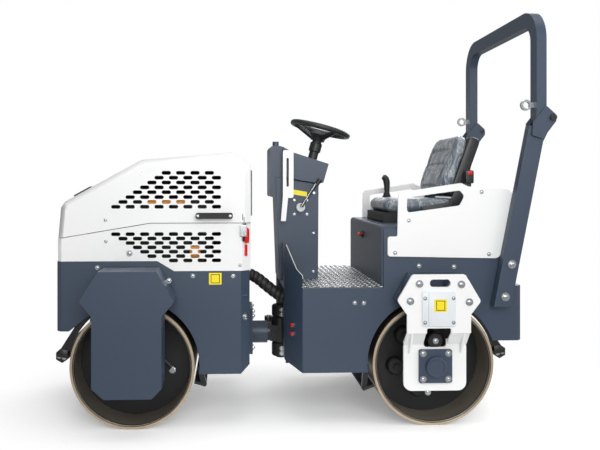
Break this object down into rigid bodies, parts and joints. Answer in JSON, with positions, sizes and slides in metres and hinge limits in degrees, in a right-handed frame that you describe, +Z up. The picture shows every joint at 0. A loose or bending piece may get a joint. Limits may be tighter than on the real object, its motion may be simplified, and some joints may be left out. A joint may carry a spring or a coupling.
{
  "type": "ride-on tandem road roller",
  "caption": "Articulated ride-on road roller with smooth steel drums, engine hood, operator seat, steering wheel and folding roll-over hoop.",
  "frame": {"origin": "on the ground under the middle of the overall length and width", "axes": "+X to the rear, +Y to the machine's right-hand side, +Z up"},
  "size_m": [2.286, 1.26, 1.915],
  "materials": {
    "slate_paint": "satin",
    "white_paint": "gloss",
    "tread_plate": "satin",
    "drum_steel": "rough",
    "seat_vinyl": "satin",
    "black_plastic": "matte",
    "black_paint": "satin",
    "rubber": "matte",
    "zinc_steel": "satin",
    "engine_iron": "satin"
  },
  "bodies": {
    "platform": {"rear_frame": "slate_paint", "floor_plate": "tread_plate", "seat_base": "slate_paint", "seat_suspension": "black_plastic", "seat_cushion": "seat_vinyl", "seat_back": "seat_vinyl", "side_panel_left": "white_paint", "side_panel_right": "white_paint", "lever_console": "slate_paint", "travel_lever": "black_plastic", "console_column": "slate_paint", "instrument_hood": "slate_paint", "console_box": "slate_paint", "console_handle": "white_paint", "throttle_lever": "black_plastic", "steering_column": "black_plastic", "rops_posts": "slate_paint", "rops_pins": "zinc_steel", "pivot_bearings": "slate_paint", "rear_pads": "slate_paint", "rear_bracket_left": "white_paint", "rear_bearing_cover": "slate_paint", "rear_motor_cover": "slate_paint", "rear_motor": "black_paint", "rear_scrapers": "black_paint"},
    "front_half": {"front_frame": "slate_paint", "swing_lug": "slate_paint", "hose_bundle": "rubber", "lower_cowl": "white_paint", "engine": "engine_iron", "front_pads": "slate_paint", "front_motor_cover": "slate_paint", "front_motor": "black_paint", "front_bracket_right": "white_paint", "front_bearing_cover": "slate_paint", "front_scrapers": "black_paint", "hood_latches": "zinc_steel"},
    "centre_block": {"centre_block": "black_paint"},
    "steer_barrel": {"steer_barrel": "black_paint"},
    "steer_rod": {"steer_rod": "zinc_steel"},
    "steering_wheel": {"steering_wheel": "black_plastic"},
    "rops_hoop": {"rops_hoop": "slate_paint"},
    "rear_drum": {"rear_drum": "drum_steel"},
    "front_drum": {"front_drum": "drum_steel"},
    "hood": {"hood": "white_paint", "hood_handles": "black_plastic"}
  },
  "joints": [
    {"name": "steer", "type": "hinge", "parent": "platform", "child": "centre_block", "pos_m": [-0.0835, 0, 0.345], "axis": [0, 0, 1], "range_deg": [-30, 30]},
    {"name": "front_swing", "type": "hinge", "parent": "centre_block", "child": "front_half", "pos_m": [-0.1515, 0, 0.345], "axis": [1, 0, 0], "range_deg": [-8, 8], "deforming": ["hose_bundle"]},
    {"name": "front_drum_spin", "type": "hinge", "parent": "front_half", "child": "front_drum", "pos_m": [-0.7865, 0, 0.28], "axis": [0, 1, 0], "continuous": true},
    {"name": "rear_drum_spin", "type": "hinge", "parent": "platform", "child": "rear_drum", "pos_m": [0.5835, 0, 0.28], "axis": [0, 1, 0], "continuous": true},
    {"name": "hood_open", "type": "hinge", "parent": "front_half", "child": "hood", "pos_m": [-1.1355, 0, 0.854], "axis": [0, -1, 0], "range_deg": [0, 60]},
    {"name": "rops_fold", "type": "hinge", "parent": "platform", "child": "rops_hoop", "pos_m": [1.1215, 0, 1.409], "axis": [0, 1, 0], "range_deg": [0, 120]},
    {"name": "steering_wheel_turn", "type": "hinge", "parent": "platform", "child": "steering_wheel", "pos_m": [0.1205, 0, 1.388], "axis": [0.2588, 0, 0.9659], "continuous": true},
    {"name": "barrel_swing", "type": "hinge", "parent": "platform", "child": "steer_barrel", "pos_m": [0.2235, 0.15, 0.387], "axis": [0, 0, 1], "range_deg": [-6, 6]},
    {"name": "rod_slide", "type": "slide", "parent": "steer_barrel", "child": "steer_rod", "axis": [-0.9985, -0.055, 0], "range_m": [-0.08, 0.08]}
  ],
  "couplings": [
    {"joint": "barrel_swing", "follows": "steer", "ratio": 0.1164},
    {"joint": "rod_slide", "follows": "steer", "m_per_rad": 0.12883}
  ]
}
